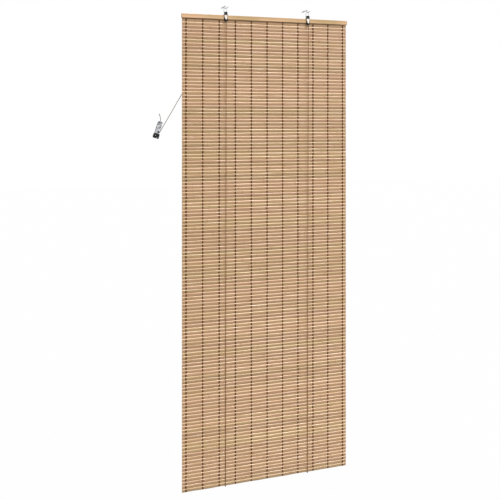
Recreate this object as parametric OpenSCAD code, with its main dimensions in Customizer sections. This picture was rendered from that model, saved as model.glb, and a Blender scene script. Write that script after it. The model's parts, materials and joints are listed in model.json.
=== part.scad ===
// Bamboo roll-up blind on two wall hooks, with lift cords, pulleys and a cord lock.
// Millimetres. +X runs right along the rail, +Y into the wall and +Z up. The wall is at y = 0.
// The origin lies on the wall, midway between the shanks of the two hooks.

/* [Blind] */
// Width of the woven mat
mat_w = 600; // [420:10:1200]
// Drop from the top of the rail to the lowest slat
drop = 1600; // [600:10:2200]
// Distance from one slat to the next
slat_pitch = 11.65; // [9:0.05:16]
// Height of the gap between two slats
slat_gap = 0.8; // [0.5:0.1:1.5]
// Thickness of a slat at its crown
slat_t = 3.2; // [2.6:0.1:4.5]
// Thickness that a slat loses at its rounded edges
slat_round = 1.3; // [0.8:0.1:1.6]
// Height of the flat crown of a slat
slat_crown = 4.4; // [2:0.1:6]

/* [Threads] */
// Number of warp threads across the mat
thread_count = 11; // [5:1:15]
// Distance from the side of the mat to its first thread
thread_margin = 13.5; // [8:0.5:25]
// Width of a warp thread
thread_w = 1.6; // [0.8:0.1:2.5]
// Thickness of a warp thread
thread_t = 0.5; // [0.3:0.05:0.8]

/* [Rail] */
// Height of the rail
rail_h = 14.3; // [12:0.1:24]
// Length of the rail past each side of the mat
rail_overhang = 1.5; // [0:0.5:10]
// Thickness of the front batten
front_batten_t = 6; // [4:0.5:12]
// Thickness of the back batten
back_batten_t = 4; // [3:0.5:8]
// Radius of the battens' long edges
batten_round = 1.4; // [0.5:0.1:1.9]
// Number of pins through the rail
pin_count = 7; // [3:1:11]
// Radius of a pin
pin_r = 0.8; // [0.6:0.1:1.2]

/* [Hangers] */
// Distance between the two hangers
hanger_pitch = 300; // [200:10:380]
// Thickness of the metal of a strap and of a cord guard
strap_t = 1.2; // [0.8:0.1:1.8]
// Width of a strap on top of the rail
strap_w = 11; // [8:0.5:16]
// Width of a cord guard at its top
guard_w = 10.4; // [8:0.2:14]
// Width of a cord guard at its tip
guard_tip_w = 5; // [4.6:0.2:8]
// Length of a cord guard below the rail
guard_drop = 1; // [0:0.5:2]
// Width of a pulley housing
housing_w = 7.8; // [7.6:0.1:10]
// Thickness of a housing's cheek
cheek_t = 1.4; // [1:0.1:1.8]
// Width of the foot and the apron of a housing
housing_foot_w = 13; // [11:0.5:18]
// Thickness of the foot and the apron of a housing
housing_foot_t = 1.4; // [1:0.1:1.8]
// Length of a housing's apron below the rail
apron_drop = 7.5; // [7:0.5:16]
// Radius of a sheave
sheave_r = 4.6; // [4.4:0.1:5.2]
// Radius of an axle
axle_r = 1; // [0.8:0.05:1.2]
// Radius of the wire of a bail
bail_wire_r = 0.9; // [0.6:0.05:1]
// Height of a bail, from its feet to its bar
bail_h = 18.05; // [10:0.05:20]
// Height of the feet of a bail above the rail
bail_foot_up = 8; // [7:0.5:9]

/* [Hooks] */
// Distance from the wall to the plane in which the blind hangs
hang_off = 28; // [24:1:60]
// Radius of the wire of a hook
hook_wire_r = 1.1; // [0.9:0.05:1.3]
// Radius of the bend of a hook, at the middle of its wire
hook_bend_r = 4; // [3.8:0.1:6]
// Length of the raised arm of a hook
hook_arm = 8; // [5:0.5:14]
// Angle by which the arm of a hook rises
hook_rise = 28; // [0:1:40]
// Angle by which a hook is turned away from the wall
hook_turn = 45; // [35:1:60]
// Radius of the screw shank
shank_r = 1.6; // [1.4:0.05:2.5]
// Length of the shank in the wall
shank_l = 25; // [15:1:40]

/* [Cords] */
// Radius of a lift cord
lift_cord_r = 1; // [0.7:0.05:1.1]
// Radius of the pull cord
pull_cord_r = 1.2; // [0.8:0.05:1.2]

/* [Lock] */
// Angle of the lock from the vertical
lock_tilt = 18; // [0:1:30]
// Width of the metal plates
plate_w = 15; // [14.4:0.1:20]
// Thickness of the metal plates
plate_t = 1.2; // [0.8:0.1:1.6]
// Height of the plates above the middle of the lock
plate_top = 28.5; // [27:0.5:36]
// Depth of the lock from the wall
lock_depth = 12; // [10:0.5:16]
// Radius of the flanges of the roller
roller_r = 5; // [4.8:0.1:5.2]
// Radius of the hole for the wall screw
screw_hole_r = 1.75; // [1.5:0.05:2]
// Number of teeth on the cam
cam_teeth = 7; // [4:1:9]

/* [Hidden] */
$fn = 48;
slide_gap = 0.05;   // play between a pin and its hole
running_gap = 0.3;  // play between pieces that move past each other

// Names of the pieces
sides = ["left", "right"];
hanger_pieces = [
    "hanger_strap", "pulley_housing", "cord_guard", "sheave", "sheave_axle", "bail", "hook", "lift_cord"
];

// Colours
bamboo = [0.74, 0.61, 0.47];
rail_wood = [0.80, 0.67, 0.50];
thread_tan = [0.55, 0.41, 0.27];
cord_tan = [0.66, 0.52, 0.38];
cord_grey = [0.78, 0.78, 0.75];
zinc = [0.78, 0.79, 0.80];
black_nylon = [0.10, 0.10, 0.10];
dark_steel = [0.35, 0.35, 0.36];

// Heights, from the hooks down to the lowest slat
bar_z = -2 * hook_bend_r + hook_wire_r + bail_wire_r + slide_gap;
bail_foot_z = bar_z - bail_h;
rail_top = bail_foot_z - bail_foot_up;
rail_bottom = rail_top - rail_h;
slat_count = floor((drop - rail_h) / slat_pitch);
mat_bottom = rail_bottom - slat_count * slat_pitch;
header_play = 1.5;
header_top = rail_top - header_play;

// Depths, centred on the plane in which the blind hangs
rail_t = front_batten_t + slat_t + back_batten_t;
rail_front = -hang_off - rail_t / 2;
rail_back = rail_front + rail_t;
mat_front = rail_front + front_batten_t;
mat_back = mat_front + slat_t;

// Slats
web_t = 0.8;
web_back = 0.6;
gap_end = 4;              // length of mat left closed at each end of a gap
closed_every = 9;         // one valley in this many stays closed
rail_w = mat_w + 2 * rail_overhang;
thread_pitch = (mat_w - 2 * thread_margin) / (thread_count - 1);

// Rail pins: one midway between each strap and the end of the rail, the others spread between the straps
strap_side = hanger_pitch / 2 + strap_w / 2;
pin_end_x = (rail_w / 2 + strap_side) / 2;
pins_between = pin_count - 2;
pin_span = hanger_pitch - strap_w;
pin_xs = concat(
    [-pin_end_x], [for (i = [1:pins_between]) -pin_span / 2 + i * pin_span / (pins_between + 1)], [pin_end_x]
);
pin_head_r = 2 * pin_r;
pin_head_t = 0.6;
pin_short = 2;            // wood left in front of a pin's tip
pin_z = (rail_top + rail_bottom) / 2;

// Hangers, at the back of the rail
eye_wire_r = 0.8;
eye_play = 0.7;
eye_r = lift_cord_r + eye_play + eye_wire_r;
back_eye_y = rail_back + strap_t + eye_r;
leg_short = 3;            // height of rail left free below a strap's leg
back_leg_h = rail_h - leg_short;
back_leg_w = strap_w - 2 * strap_t;
back_eye_z = rail_top - back_leg_h / 2;
saddle_top = rail_top + strap_t;
eye_lead = 2;             // straight cord above and below an eye

// Hangers, at the front: the cord runs up a channel between the apron and the guard
apron_front = rail_front - housing_foot_t;
apron_end = rail_bottom - apron_drop;
apron_round = housing_foot_w / 2.6;
channel_w = 2 * (lift_cord_r + running_gap);
channel_wall = 0.8;
channel_y = apron_front - channel_w / 2;
guard_back = apron_front - channel_w;
guard_end = rail_bottom - guard_drop;
guard_straight = rail_h / 3;
guard_shift = (guard_w - housing_foot_w) / 2;   // its left side is in line with the apron
bridge_h = 2.4;
bridge_z = apron_end + 1.6;
cord_lead = 1;            // straight cord below the bridge

// Hangers, on top of the rail
rim_depth = 0.2;          // depth of a cord below the rim of its sheave
axle_z = saddle_top + running_gap + sheave_r;
wrap_r = sheave_r - lift_cord_r - rim_depth;
groove_r = wrap_r - lift_cord_r - running_gap;
axle_y = channel_y + wrap_r;
nose_wall = 1;
nose_back = axle_y - sheave_r - running_gap;
housing_gap = housing_w - 2 * cheek_t;
sheave_w = housing_gap - 2 * running_gap;
axle_head_r = 1.6 * axle_r;
axle_head_t = 0.5;
ear_wall = 1.3;
ear_r = bail_wire_r + ear_wall;
bail_leg_x = housing_w / 2 + running_gap + bail_wire_r;
bail_corner_r = 2.5;
cheek_r = sheave_r + running_gap + nose_wall;
screw_r = 1.2;
screw_l = 3.2;
screw_head_r = 2.2;
screw_head_t = 1;
screw_z = rail_top - back_leg_h + screw_head_r;

// Hooks
collar_r = 1.5 * shank_r;
collar_t = 1.2;
tip_l = 6;
hook_ball_r = 1.3 * hook_wire_r;
elbow_r = 1.02 * shank_r;
bend_end_r = 1.02 * hook_wire_r;
hook_flat = (bail_wire_r + hook_wire_r + running_gap) / sin(hook_turn);   // level stretch under the bail

// Lift cords
cord_sides = 8;
back_run_y = mat_back + lift_cord_r + running_gap;
front_run_y = mat_front - lift_cord_r - running_gap;
turn_r = (back_run_y - front_run_y) / 2;
turn_y = (back_run_y + front_run_y) / 2;
leave_angle = 65;         // where the cord leaves the top of the sheave
leave_r = 3.2;            // radius of its bend over the back edge of the rail
knot_r = 3;
knot_z = rail_top - 17;
knot_core = 1.6;          // distance from the middle of the knot at which a cord ends in it
cross_bend = 5;           // radius of the bend into the run behind the rail

// Lock: middle, and places in its own tilted frame, x across and z along it
lock_at = [-377, 0, -419.5];
gap_front = -lock_depth + plate_t;
gap_back = -plate_t;
plate_gap = gap_back - gap_front;
cord_y = (gap_front + gap_back) / 2;
plate_bottom = -13;
plate_corner = 4;
roller_at = [3.5, -7];
roller_rim_depth = 0.5;
roller_wrap_r = roller_r - roller_rim_depth;
roller_groove_r = roller_wrap_r - pull_cord_r - running_gap;
roller_play = 0.2;
roller_w = plate_gap - 2 * roller_play;
lock_cord_x = roller_at.x - roller_wrap_r;
lock_pin_r = 1.25;
lock_pin_head_r = 2;
roller_head_r = 3.2;
lock_pin_head_t = 0.6;
cam_at = [4.2, 8];
cam_r = cam_at.x - lock_cord_x - pull_cord_r - running_gap;
cam_body_r = 2.6;
cam_growth = 0.008;       // gain in radius for each degree above the grip
tooth_depth = 0.35;
cam_low = -50;
cam_high = 40;
cam_shoulder = 15;
cam_back_from = 180 - cam_high - cam_shoulder;
cam_back_to = -180 - cam_low + cam_shoulder;
cam_back_steps = 16;
rivet_r = 1;
rivet_inset = 2.8;
rivet_top = plate_top - 3.5;
rivet_low = 17;
shoe_top = plate_bottom - 0.2;
shoe_bottom = -29.5;
shoe_left = -9.5;
shoe_right = 9.4;
foot_r = 4.5;
foot_x = shoe_left + foot_r;
shoe_h = shoe_top - shoe_bottom;
notch_left = 0.8;
notch_right = 8;
notch_h = 5.6;
rib_left = 2.2;
rib_w = 1.8;
rib_h = 9;
rib_t = 0.7;
tongue_right = lock_cord_x - pull_cord_r - running_gap;
tongue_left = -plate_w / 2 + 0.5;
tongue_top = 20;
flange_x = shoe_right + 0.2;
flange_t = 1.4;
flange_bottom = shoe_bottom;
flange_y = gap_front + 0.8;
screw_at = [-2, -20];

rivet_left = -plate_w / 2 + rivet_inset;
rivet_places = [[rivet_left, rivet_top], [-rivet_left, rivet_top], [rivet_left, rivet_low]];
pin_places = [roller_at, cam_at];

// Route of the pull cord, from the knot behind the rail round the roller and out of the lock
pull_route = [
    [-150, -17.7, -49], [-205.5, -14.8, -144.1], [-261, -11.9, -239.3], [-316.5, -8.9, -334.4],
    [-372, -6, -429.5], [-373.2, -6, -430.9], [-374.9, -6, -431.6], [-376.8, -6, -431.6],
    [-378.5, -6, -430.9], [-379.7, -6, -429.5], [-380.3, -6, -427.7], [-380.1, -6, -425.8],
    [-376.4, -6, -414.4], [-372.7, -6, -403], [-369, -6, -391.6], [-368, -6, -387.5],
    [-368.1, -6, -383.5], [-369, -6, -379], [-370.4, -6, -374], [-372, -6, -368.5]
];
tail_end = pull_route[len(pull_route) - 1];
tail_knot_r = 2;

// Shared shapes

function unit(v) = v / norm(v);

// Points on an arc, in the plane of its two coordinates
function arc(middle, r, from, to, steps) =
    [for (i = [0:steps]) let (a = from + (to - from) * i / steps) middle + r * [cos(a), sin(a)]];

// Direction of a route at each of its points
function headings(route) = let (last = len(route) - 1)
    [for (i = [0:last]) unit(route[min(i + 1, last)] - route[max(i - 1, 0)])];

// Side vectors that follow the headings without twisting
function side_vectors(along, first) =
    [for (i = 0, v = first; i < len(along);
          i = i + 1, v = i < len(along) ? unit(v - (v * along[i]) * along[i]) : v) v];

// Round cord swept along a route, starting with one side towards the vector first
module cord(route, r, first = [1, 0, 0]) {
    along = headings(route);
    side = side_vectors(along, unit(first - (first * along[0]) * along[0]));
    rings = len(route);
    points = [for (i = [0:rings - 1]) for (k = [0:cord_sides - 1])
        let (a = 360 * k / cord_sides)
        route[i] + r * (cos(a) * side[i] + sin(a) * cross(along[i], side[i]))];
    walls = [for (i = [0:rings - 2]) for (k = [0:cord_sides - 1])
        let (n = (k + 1) % cord_sides, b = i * cord_sides, t = b + cord_sides)
        [b + k, t + k, t + n, b + n]];
    start = [[for (k = [0:cord_sides - 1]) k]];
    end = [[for (k = [cord_sides - 1:-1:0]) (rings - 1) * cord_sides + k]];
    polyhedron(points, concat(start, walls, end));
}

module rounded_rect(size, r) {
    translate([r, 0]) square([size.x - 2 * r, size.y]);
    translate([0, r]) square([size.x, size.y - 2 * r]);
    for (x = [r, size.x - r]) for (y = [r, size.y - r]) translate([x, y]) circle(r);
}

// Outline in the y, z plane, extruded along +X
module along_x(length) {
    rotate([90, 0, 90]) linear_extrude(length) children();
}

// Outline in the x, z plane, extruded from y to y + depth
module along_y(y, depth) {
    translate([0, y + depth, 0]) rotate([90, 0, 0]) linear_extrude(depth) children();
}

// Rod along +X or +Y
module rod_x(r, length) {
    rotate([0, 90, 0]) cylinder(r = r, h = length);
}

module rod_y(r, length) {
    rotate([-90, 0, 0]) cylinder(r = r, h = length);
}

// Ring of wire
module ring(r, wire_r) {
    rotate_extrude() translate([r, 0]) circle(wire_r);
}

module at_hanger(side) {
    translate([side == "left" ? -hanger_pitch / 2 : hanger_pitch / 2, 0, 0]) children();
}

module at_lock() {
    translate(lock_at) rotate([0, lock_tilt, 0]) children();
}

// Rail

module batten(front, thickness) {
    translate([-rail_w / 2, 0, 0])
        along_x(rail_w)
            translate([front, rail_bottom]) rounded_rect([thickness, rail_h], batten_round);
}

module at_pins() {
    for (x = pin_xs) translate([x, rail_front + pin_short, pin_z]) children();
}

module pin_holes() {
    at_pins() rod_y(pin_r + slide_gap, rail_t);
}

module rail_front_batten() {
    color(rail_wood) difference() {
        batten(rail_front, front_batten_t);
        pin_holes();
    }
}

module rail_back_batten() {
    color(rail_wood) difference() {
        batten(mat_back, back_batten_t);
        pin_holes();
        strap_screw_holes();
    }
}

module rail_pins() {
    color(dark_steel) at_pins() {
        rod_y(pin_r, rail_t - pin_short);
        translate([0, rail_t - pin_short, 0]) rod_y(pin_head_r, pin_head_t);
    }
}

// Mat: crowned slats in one wall, with a gap in most of the valleys between them

function slat_face(z) = let (
    low = z + slat_gap / 2,
    high = z + slat_pitch - slat_gap / 2,
    middle = z + slat_pitch / 2,
    valley = mat_back - web_back - web_t,
    edge = mat_front + slat_round
) [
    [valley, low], [edge, low], [mat_front, middle - slat_crown / 2],
    [mat_front, middle + slat_crown / 2], [edge, high], [valley, high]
];

function slat_rear(z) = let (
    low = z + slat_gap / 2,
    high = z + slat_pitch - slat_gap / 2,
    valley = mat_back - web_back
) [[valley, high], [mat_back, high], [mat_back, low], [valley, low]];

module mat_section() {
    face = [for (i = [0:slat_count - 1]) each slat_face(mat_bottom + i * slat_pitch)];
    rear = [for (i = [slat_count - 1:-1:0]) each slat_rear(mat_bottom + i * slat_pitch)];
    header = [
        [mat_front, rail_bottom], [mat_front, header_top], [mat_back, header_top], [mat_back, rail_bottom]
    ];
    polygon(concat(face, header, rear));
}

module mat_gaps() {
    slot_h = slat_gap / 2;
    for (i = [1:slat_count - 1]) if (i % closed_every != 0)
        translate([-mat_w / 2 + gap_end, mat_front, mat_bottom + i * slat_pitch - slot_h / 2])
            cube([mat_w - 2 * gap_end, slat_t, slot_h]);
}

module woven_mat() {
    color(bamboo) difference() {
        translate([-mat_w / 2, 0, 0]) along_x(mat_w) mat_section();
        mat_gaps();
        pin_holes();
    }
}

// One warp thread: down the front of the slats, under the lowest one and up the back
module warp_thread(i) {
    x = -mat_w / 2 + thread_margin + (i - 1) * thread_pitch;
    low = mat_bottom + slat_gap / 2;
    color(thread_tan) translate([x - thread_w / 2, 0, 0]) along_x(thread_w) {
        translate([mat_front - thread_t, low]) square([thread_t, rail_bottom - low]);
        translate([mat_back, low]) square([thread_t, rail_bottom - low]);
        translate([mat_front - thread_t, low - thread_t]) square([slat_t + 2 * thread_t, thread_t]);
    }
}

// Hangers

// Strap over the rail: a saddle, and a leg with an eye at the back
module hanger_strap(side) {
    color(zinc) at_hanger(side) difference() {
        union() {
            translate([-strap_w / 2, rail_front, rail_top]) cube([strap_w, rail_t + strap_t, strap_t]);
            along_y(rail_back, strap_t)
                translate([-back_leg_w / 2, rail_top - back_leg_h])
                    rounded_rect([back_leg_w, back_leg_h + strap_t], strap_t);
            translate([0, back_eye_y, back_eye_z]) ring(eye_r, eye_wire_r);
        }
        strap_screw_hole();
    }
}

module strap_screw_hole() {
    translate([0, rail_back + strap_t - screw_l, screw_z]) rod_y(screw_r + slide_gap, screw_l + strap_t);
}

module strap_screw_holes() {
    for (side = sides) at_hanger(side) strap_screw_hole();
}

module strap_screws() {
    color(dark_steel) for (side = sides) at_hanger(side)
        translate([0, rail_back + strap_t - screw_l, screw_z]) {
            rod_y(screw_r, screw_l);
            translate([0, screw_l, 0]) rod_y(screw_head_r, screw_head_t);
        }
}

// Side view of a housing's cheek: round over the sheave, with an ear for the bail
module cheek_outline() {
    intersection() {
        union() {
            translate([axle_y, axle_z]) circle(cheek_r);
            translate([-hang_off, bail_foot_z]) circle(ear_r);
            polygon([
                [axle_y - cheek_r, saddle_top], [axle_y - cheek_r, axle_z], [axle_y, axle_z + cheek_r],
                [-hang_off, bail_foot_z + ear_r], [-hang_off + ear_r, bail_foot_z], [rail_back, saddle_top]
            ]);
        }
        translate([axle_y - 3 * cheek_r, saddle_top]) square(6 * cheek_r + rail_t);
    }
}

// Side view of the nose, the wall round the front of the sheave between the cheeks
module nose_outline() {
    difference() {
        union() {
            intersection() {
                translate([axle_y, axle_z]) circle(cheek_r);
                translate([axle_y - cheek_r, axle_z]) square(cheek_r);
            }
            translate([axle_y - cheek_r, rail_top]) square([cheek_r, axle_z - rail_top]);
        }
        translate([axle_y, axle_z]) circle(sheave_r + running_gap);
        translate([nose_back, rail_top - strap_t]) square([2 * cheek_r, axle_z - rail_top + strap_t]);
    }
}

// Front view of the apron, with a rounded lower end
module apron_outline() {
    top = saddle_top + housing_foot_t;
    translate([-housing_foot_w / 2, apron_end]) rounded_rect([housing_foot_w, top - apron_end], apron_round);
    translate([-housing_foot_w / 2, top - apron_round]) square([housing_foot_w, apron_round]);
}

// Foot on the rail and apron in front of it, with a slot for the sheave
module housing_base() {
    difference() {
        union() {
            translate([-housing_foot_w / 2, rail_front, saddle_top])
                cube([housing_foot_w, rail_t, housing_foot_t]);
            along_y(apron_front, housing_foot_t) apron_outline();
        }
        translate([-housing_gap / 2, apron_front - housing_foot_t, saddle_top])
            cube([housing_gap, axle_y + sheave_r + running_gap - apron_front + housing_foot_t, 4 * sheave_r]);
    }
}

// Walls of the cord's channel, and the bridge that keeps the cord in it
module cord_channel() {
    wall_x = channel_w / 2;
    for (x = [-wall_x - channel_wall, wall_x])
        translate([x, guard_back, bridge_z]) cube([channel_wall, channel_w, rail_top - bridge_z]);
    translate([-wall_x - channel_wall, guard_back - strap_t, bridge_z])
        cube([channel_w + 2 * channel_wall, strap_t, bridge_h]);
}

module pulley_housing(side) {
    color(black_nylon) at_hanger(side) difference() {
        union() {
            for (x = [-housing_w / 2, housing_w / 2 - cheek_t])
                translate([x, 0, 0]) along_x(cheek_t) cheek_outline();
            translate([-housing_w / 2, 0, 0]) along_x(housing_w) nose_outline();
            housing_base();
            cord_channel();
        }
        translate([-housing_w, axle_y, axle_z]) rod_x(axle_r + slide_gap, 2 * housing_w);
        translate([-housing_w, -hang_off, bail_foot_z]) rod_x(bail_wire_r + slide_gap, 2 * housing_w);
    }
}

// Tapered metal plate over the channel
module cord_guard(side) {
    color(zinc) at_hanger(side) along_y(guard_back - strap_t, strap_t) translate([guard_shift, 0]) polygon([
        [-guard_w / 2, rail_top], [-guard_w / 2, rail_top - guard_straight],
        [-guard_tip_w / 2 - guard_shift, guard_end], [guard_tip_w / 2 - guard_shift, guard_end],
        [guard_w / 2, rail_top - guard_straight], [guard_w / 2, rail_top]
    ]);
}

module sheave(side) {
    rim = (sheave_w - 2 * lift_cord_r) / 4;
    groove_half_w = 0.6 * lift_cord_r;
    color(black_nylon) at_hanger(side) translate([0, axle_y, axle_z]) rotate([0, 90, 0]) rotate_extrude()
        polygon([
            [axle_r + slide_gap, -sheave_w / 2], [sheave_r, -sheave_w / 2], [sheave_r, -sheave_w / 2 + rim],
            [groove_r, -groove_half_w], [groove_r, groove_half_w],
            [sheave_r, sheave_w / 2 - rim], [sheave_r, sheave_w / 2], [axle_r + slide_gap, sheave_w / 2]
        ]);
}

module sheave_axle(side) {
    color(zinc) at_hanger(side) translate([-housing_w / 2, axle_y, axle_z]) {
        rod_x(axle_r, housing_w);
        translate([-axle_head_t, 0, 0]) rod_x(axle_head_r, axle_head_t);
        translate([housing_w, 0, 0]) rod_x(axle_head_r, axle_head_t);
    }
}

// Quarter bend of wire, from straight down at the left to straight right at the top
module wire_bend(r, wire_r) {
    rotate([90, 0, 0]) rotate_extrude(angle = 90) translate([r, 0]) circle(wire_r);
}

module bail_half() {
    bend_x = bail_leg_x - bail_corner_r;
    top_z = bar_z - bail_corner_r;
    translate([bend_x, 0, top_z]) wire_bend(bail_corner_r, bail_wire_r);
    translate([bail_leg_x, 0, bail_foot_z]) cylinder(r = bail_wire_r, h = top_z - bail_foot_z);
    translate([0, 0, bar_z]) rod_x(bail_wire_r, bend_x);
    translate([housing_gap / 2, 0, bail_foot_z]) rod_x(bail_wire_r, bail_leg_x - housing_gap / 2);
    translate([bail_leg_x, 0, bail_foot_z]) sphere(bail_wire_r * 1.01);
}

module bail(side) {
    color(zinc) at_hanger(side) translate([0, -hang_off, 0]) {
        bail_half();
        mirror([1, 0, 0]) bail_half();
    }
}

// Hooks

module hook(side) {
    color(zinc) at_hanger(side) {
        translate([0, -hang_off, 0]) rotate([0, 0, -hook_turn]) {
            translate([0, 0, -hook_bend_r]) rotate([90, 0, 0]) rotate([0, 0, 90])
                rotate_extrude(angle = 180) translate([hook_bend_r, 0]) circle(hook_wire_r);
            translate([0, 0, -2 * hook_bend_r]) rod_x(hook_wire_r, hook_flat);
            translate([hook_flat, 0, -2 * hook_bend_r]) rotate([0, -hook_rise, 0]) {
                sphere(bend_end_r);
                rod_x(hook_wire_r, hook_arm);
                translate([hook_arm, 0, 0]) sphere(hook_ball_r);
            }
            sphere(elbow_r);
        }
        translate([0, -hang_off, 0]) rod_y(shank_r, hang_off + shank_l - tip_l);
        translate([0, -collar_t, 0]) rod_y(collar_r, collar_t);
        translate([0, shank_l - tip_l, 0]) rotate([-90, 0, 0])
            cylinder(r1 = shank_r, r2 = shank_r / 4, h = tip_l);
    }
}

// Lift cords

// From the back of the rail round the lowest slat, up the front and over the sheave, as y, z points
function lift_points() = concat(
    [[back_run_y, rail_bottom]],
    arc([turn_y, mat_bottom], turn_r, 0, -180, 8),
    [[channel_y, bridge_z - cord_lead]],
    arc([axle_y, axle_z], wrap_r, 180, leave_angle, 6),
    arc([back_eye_y - leave_r, saddle_top - running_gap], leave_r, leave_angle, 0, 3),
    [[back_eye_y, back_eye_z + eye_lead], [back_eye_y, back_eye_z - eye_lead]]
);

module lift_cord(side) {
    down = [for (p = lift_points()) [0, p.x, p.y]];
    bend = [for (p = arc([-cross_bend, knot_z + cross_bend], cross_bend, 0, -90, 5)) [p.x, back_eye_y, p.y]];
    across = [[-hanger_pitch + knot_core, back_eye_y, knot_z]];
    end = side == "left" ? [[0, back_eye_y, knot_z + knot_core]] : concat(bend, across);
    color(cord_tan) at_hanger(side) cord(concat(down, end), lift_cord_r);
}

module cord_knot() {
    color(cord_grey) at_hanger("left") translate([0, back_eye_y, knot_z]) sphere(knot_r);
}

// Pull cord and its tail

module pull_cord() {
    color(cord_grey) cord(pull_route, pull_cord_r, [0, 1, 0]);
}

module tail_knot() {
    color(cord_grey) translate(tail_end) sphere(tail_knot_r);
}

// Cord lock

module lock_pin(place, r, head_r) {
    translate([place.x, -lock_depth, place.y]) {
        rod_y(r, lock_depth);
        translate([0, -lock_pin_head_t, 0]) rod_y(head_r, lock_pin_head_t);
    }
}

module lock_hole(place, r) {
    translate([place.x, -2 * lock_depth, place.y]) rod_y(r, 3 * lock_depth);
}

module lock_holes() {
    for (place = rivet_places) lock_hole(place, rivet_r + slide_gap);
    for (place = pin_places) lock_hole(place, lock_pin_r + slide_gap);
}

module plate_outline() {
    translate([-plate_w / 2, plate_bottom]) square([plate_w, plate_corner]);
    translate([-plate_w / 2, plate_bottom])
        rounded_rect([plate_w, plate_top - plate_bottom], plate_corner);
}

module lock_back_plate() {
    color(zinc) at_lock() difference() {
        union() {
            along_y(-plate_t, plate_t) {
                plate_outline();
                translate([-plate_w / 2, flange_bottom])
                    square([plate_w / 2 + flange_x + flange_t, plate_bottom - flange_bottom]);
            }
            translate([flange_x, flange_y, flange_bottom])
                cube([flange_t, -flange_y, shoe_top - flange_bottom - flange_t]);
        }
        lock_holes();
        lock_hole(screw_at, screw_hole_r);
    }
}

module lock_front_plate() {
    color(zinc) at_lock() difference() {
        along_y(-lock_depth, plate_t) plate_outline();
        lock_holes();
    }
}

// Moulded shoe: a block with a round foot, a notch and a rib, and a tongue that the cam grips against
module lock_shoe() {
    color(black_nylon) at_lock() difference() {
        union() {
            along_y(-lock_depth, lock_depth - plate_t) difference() {
                union() {
                    translate([foot_x, shoe_bottom]) square([shoe_right - foot_x, shoe_h]);
                    translate([shoe_left, shoe_bottom + foot_r]) square([foot_r, shoe_h - 2 * foot_r]);
                    for (z = [shoe_bottom + foot_r, shoe_top - foot_r]) translate([foot_x, z]) circle(foot_r);
                }
                translate([notch_left, shoe_bottom - notch_h])
                    square([notch_right - notch_left, 2 * notch_h]);
            }
            translate([rib_left, -lock_depth - rib_t, shoe_top - rib_h]) cube([rib_w, 2 * rib_t, rib_h]);
            along_y(gap_front, plate_gap)
                translate([tongue_left, shoe_top - foot_r])
                    square([tongue_right - tongue_left, tongue_top - shoe_top + foot_r]);
        }
        lock_holes();
        lock_hole(screw_at, screw_hole_r);
    }
}

module lock_roller() {
    rim = (roller_w - 2 * pull_cord_r) / 3;
    half_w = roller_w / 2;
    bore_r = lock_pin_r + slide_gap;
    color(black_nylon) at_lock() translate([roller_at.x, cord_y, roller_at.y]) rotate([90, 0, 0])
        rotate_extrude() polygon([
            [bore_r, -half_w], [roller_r, -half_w], [roller_r, rim - half_w], [roller_groove_r, -pull_cord_r],
            [roller_groove_r, pull_cord_r], [roller_r, half_w - rim], [roller_r, half_w], [bore_r, half_w]
        ]);
}

module lock_roller_axle() {
    color(dark_steel) at_lock() lock_pin(roller_at, lock_pin_r, roller_head_r);
}

// Toothed edge of the cam, in degrees above the direction of its grip
function cam_edge() = let (steps = 2 * cam_teeth)
    [for (i = [0:steps]) let (
        a = cam_low + (cam_high - cam_low) * i / steps,
        r = cam_r + cam_growth * min(a, 0) * 2 + cam_growth * max(a, 0) - (i % 2) * tooth_depth
    ) r * [-cos(a), sin(a)]];

module lock_cam() {
    color(dark_steel) at_lock() translate([cam_at.x, 0, cam_at.y]) difference() {
        along_y(cord_y - roller_w / 2, roller_w)
            polygon(concat(cam_edge(), arc([0, 0], cam_body_r, cam_back_from, cam_back_to, cam_back_steps)));
        translate([0, -lock_depth, 0]) rod_y(lock_pin_r + slide_gap, lock_depth);
    }
}

module lock_cam_pin() {
    color(dark_steel) at_lock() lock_pin(cam_at, lock_pin_r, lock_pin_head_r);
}

module lock_rivets() {
    color(dark_steel) at_lock() for (place = rivet_places) lock_pin(place, rivet_r, 1.8 * rivet_r);
}

// Drawing

rail_front_batten();
rail_back_batten();
rail_pins();
woven_mat();
for (i = [1:thread_count]) warp_thread(i);
for (side = sides) {
    hanger_strap(side);
    pulley_housing(side);
    cord_guard(side);
    sheave(side);
    sheave_axle(side);
    bail(side);
    hook(side);
    lift_cord(side);
}
strap_screws();
cord_knot();
pull_cord();
tail_knot();
lock_back_plate();
lock_front_plate();
lock_shoe();
lock_roller();
lock_roller_axle();
lock_cam();
lock_cam_pin();
lock_rivets();
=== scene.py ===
# %% [markdown]
# A bamboo roll-up blind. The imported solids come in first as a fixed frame, in metres, and everything
# below is fitted to them. The wall is at y = 0, the front of the blind faces -Y, and +Z is up. Each step
# says what the real piece is, how it could be made in Blender, and why it is made this way.

# %% Load the frame
import json
import math
import random

import bmesh
import bpy
from mathutils import Matrix, Vector


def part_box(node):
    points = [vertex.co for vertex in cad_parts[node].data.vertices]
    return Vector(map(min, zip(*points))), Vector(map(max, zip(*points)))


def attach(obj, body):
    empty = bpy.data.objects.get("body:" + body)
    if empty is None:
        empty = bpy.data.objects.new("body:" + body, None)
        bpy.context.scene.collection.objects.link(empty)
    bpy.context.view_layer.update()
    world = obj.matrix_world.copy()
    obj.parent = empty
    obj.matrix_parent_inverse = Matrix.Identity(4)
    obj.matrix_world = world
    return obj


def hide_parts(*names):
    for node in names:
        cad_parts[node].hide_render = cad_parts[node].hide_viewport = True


MM = 0.001
SEED = 27

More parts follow.
